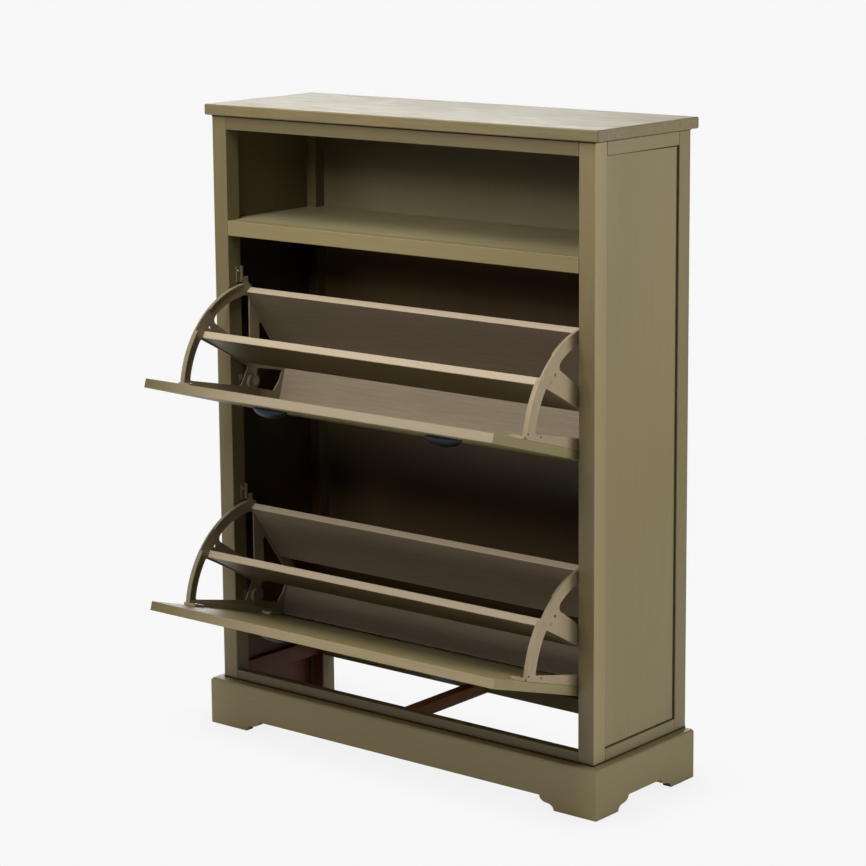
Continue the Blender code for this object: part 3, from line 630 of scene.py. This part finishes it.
def paint_side_shadows_and_fillers(finishes, under_top, over_plinth):
    """Painted shadow lines round the side panels, under the top board and along the plinth, and filled panel
    joints.
    """
    for side, sign in SIDES.items():
        shadow_strips, fillers = bmesh.new(), bmesh.new()
        low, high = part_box(f"side_panel_{side}")
        outer = sign * max(abs(low.x), abs(high.x))
        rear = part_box(f"post_rear_{side}")[0].y
        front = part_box(f"post_front_{side}")[1].y
        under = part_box(f"top_rail_{side}")[0].z
        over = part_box(f"bottom_rail_{side}")[1].z
        out = Vector((sign * STRIP_PROUD, 0, 0))
        by_post = rear - 0.0018
        corner = rear - 0.0020
        # painted shadow in the groove by the rear post, under the top rail and over the bottom rail
        add_strip(shadow_strips, (outer, by_post, over), (outer, by_post, under), PANEL_SHADOW_WIDTH, PANEL_SHADOW_WIDTH, out)
        upper_ends = (outer, corner, under - 0.0012), (outer, front, under - 0.0004)
        add_strip(shadow_strips, *upper_ends, 0.0024, 0.0006, out)
        lower_ends = (outer, corner, over + 0.0010), (outer, front, over + 0.0010)
        add_strip(shadow_strips, *lower_ends, 0.0028, 0.0024, out)
        sunk = outer - 2 * out.x
        for start, end in (
            ((sunk, front, over - 0.004), (sunk, front, under)),
            ((sunk, rear, over - 0.004), (sunk, rear, under)),
            ((sunk, rear, under), (sunk, front, under)),
            ((sunk, rear, over), (sunk, front, over)),
        ):
            add_strip(fillers, start, end, FILLER, FILLER, out)
        for rail, height, width in (
            ("top_rail", under_top, UNDER_TOP_SHADOW_WIDTH),
            ("bottom_rail", over_plinth, SHADOW_LINE_WIDTH),
        ):
            for node in (f"post_front_{side}", f"{rail}_{side}", f"post_rear_{side}"):
                low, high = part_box(node)
                face = sign * max(abs(low.x), abs(high.x))
                add_strip(shadow_strips, (face, low.y, height), (face, high.y, height), width, width, out)
        ride_mesh(f"side_shadow_lines_{side}", shadow_strips, "cabinet", finishes["groove_shadow"])
        ride_mesh(f"side_filler_{side}", fillers, "cabinet", finishes["filler"])


def dress_cabinet(finishes):
    under_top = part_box("top_board")[0].z - 0.0014
    over_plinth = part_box("plinth_front")[1].z + 0.0016
    screw_fittings(finishes)
    nail_back(finishes)
    paint_front_shadows(finishes, under_top, over_plinth)
    paint_side_shadows_and_fillers(finishes, under_top, over_plinth)


# ---------------------------------------------------------------- studio

CAMERA_AT = (2.73081, -3.27016, 1.44064)
CAMERA_TURN = (39.2885, 10.558, -0.46315)  # degrees of yaw, pitch and roll


def add_camera():
    """Seen from the front right and a little above, rolled slightly as a hand-levelled camera is."""
    yaw, pitch, roll = (math.radians(v) for v in CAMERA_TURN)
    forward = Vector((-math.sin(yaw) * math.cos(pitch), math.cos(yaw) * math.cos(pitch), -math.sin(pitch)))
    right = Vector((math.cos(yaw), math.sin(yaw), 0))
    up = right.cross(forward)
    right, up = (
        math.cos(roll) * right + math.sin(roll) * up,
        math.cos(roll) * up - math.sin(roll) * right,
    )
    camera = bpy.data.cameras.new("camera")
    camera.sensor_width = 36
    camera.lens = 114.157
    camera.shift_y = -0.07275
    camera.clip_start, camera.clip_end = 0.05, 60
    item = bpy.data.objects.new("camera", camera)
    bpy.context.scene.collection.objects.link(item)
    turn = Matrix((right, up, -forward)).transposed().to_4x4()
    item.matrix_world = Matrix.Translation(CAMERA_AT) @ turn
    bpy.context.scene.camera = item


def add_floor():
    """Pale paper: the camera sees it evenly white with a contact shade, and it lights the object as it is."""
    s = Shader("floor_paper", 0.9, specular=0.1)
    fibres = s.noise(s.place((400, 400, 400)), 1.0, 3.0)
    s.finish(s.tint(linear(246, 246, 245), s.span(fibres, 0.3, 0.7, 0.995, 1.0)))
    shade = s.node("AmbientOcclusion", {"samples": 8}, Distance=0.10).outputs["AO"]
    seen = s.node("Emission", Strength=s.span(shade, 0.35, 1.0, 0.84, 0.936))
    camera_ray = s.node("LightPath").outputs["Is Camera Ray"]
    mixed = s.node("MixShader", _0=camera_ray, _1=s.principled.outputs[0], _2=seen.outputs[0])
    s.put(s.tree.nodes["Material Output"].inputs["Surface"], mixed.outputs[0])
    bpy.ops.mesh.primitive_plane_add(size=80, location=(0, 0, 0))
    floor = bpy.context.active_object
    floor.name = "floor"
    floor.data.materials.append(s.material)


def add_softbox(name, at, towards, size, watts):
    light = bpy.data.lights.new(name, "AREA")
    light.energy = watts
    light.shape = "SQUARE"
    light.size = size
    item = bpy.data.objects.new(name, light)
    item.location = at
    item.rotation_euler = (Vector(towards) - Vector(at)).to_track_quat("-Z", "Y").to_euler()
    bpy.context.scene.collection.objects.link(item)


BACKDROP = 0.936  # what the camera sees behind the floor
DIM_SKY = 0.02
PATCHES = ((236, 4.0), (135, 0.72))  # compass degrees and strength
PATCH_MIDDLE = math.radians(11)  # height of a patch's middle, and half its height
PATCH_HALF_WIDTH = math.radians(22.5)


def add_lights():
    """Softboxes above the front, at both sides and behind, and two bright patches low in the surroundings."""
    middle = (0, 0, 0.8)
    for name, at, towards, size, watts in (
        ("front_high", (0.0, -2.2, 2.1), (0, 0, 0.7), 0.8, 22.7),
        ("front_left", (-1.1, -2.4, 1.9), (0, 0, 0.7), 0.8, 9.8),
        ("overhead_front", (0.0, -1.0, 1.9), middle, 0.6, 5.4),
        ("overhead", (0.0, -0.9, 2.6), (0, 0, 0.6), 0.7, 19.2),
        ("right_rear", (1.6, 0.6, 1.0), (0.3, 0, 0.7), 0.6, 12.3),
        ("left_fill", (-2.6, 0.6, 1.5), (0, 0, 0.6), 1.4, 14.0),
        ("rear_fill", (-0.8, 3.0, 0.6), (0, 0, 0.6), 1.0, 30.0),
    ):
        add_softbox(name, at, towards, size, watts)

    world = bpy.data.worlds.new("studio")
    bpy.context.scene.world = world
    world.use_nodes = True
    tree = world.node_tree

    def math_node(operation, a, b=0.0):
        made = tree.nodes.new("ShaderNodeMath")
        made.operation = operation
        for socket, value in zip(made.inputs, (a, b)):
            if isinstance(value, bpy.types.NodeSocket):
                tree.links.new(value, socket)
            else:
                socket.default_value = value
        return made.outputs[0]

    ray = tree.nodes.new("ShaderNodeSeparateXYZ")
    tree.links.new(tree.nodes.new("ShaderNodeTexCoord").outputs["Generated"], ray.inputs[0])
    height = math_node("ARCSINE", ray.outputs[2])
    turn = math_node("ARCTAN2", ray.outputs[0], math_node("MULTIPLY", ray.outputs[1], -1.0))
    total = DIM_SKY
    off_middle = math_node("ABSOLUTE", math_node("SUBTRACT", height, PATCH_MIDDLE))
    low = math_node("LESS_THAN", off_middle, PATCH_MIDDLE)
    for degrees, strength in PATCHES:
        across = math_node("COSINE", math_node("SUBTRACT", turn, math.radians(degrees)))
        patch = math_node("MULTIPLY", low, math_node("GREATER_THAN", across, math.cos(PATCH_HALF_WIDTH)))
        total = math_node("ADD", total, math_node("MULTIPLY", patch, strength))
    seen = tree.nodes.new("ShaderNodeLightPath").outputs["Is Camera Ray"]
    lit = math_node("MULTIPLY", total, math_node("SUBTRACT", 1.0, seen))
    background = tree.nodes["Background"]
    brightness = math_node("ADD", lit, math_node("MULTIPLY", seen, BACKDROP))
    tree.links.new(brightness, background.inputs["Strength"])
    background.inputs["Color"].default_value = (1.0, 1.0, 1.0, 1.0)


def main():
    add_camera()
    add_floor()
    add_lights()
    finishes = dress_nodes()
    dress_racks(finishes)
    dress_cabinet(finishes)
    view = bpy.context.scene.view_settings
    view.view_transform = "Standard"


main()
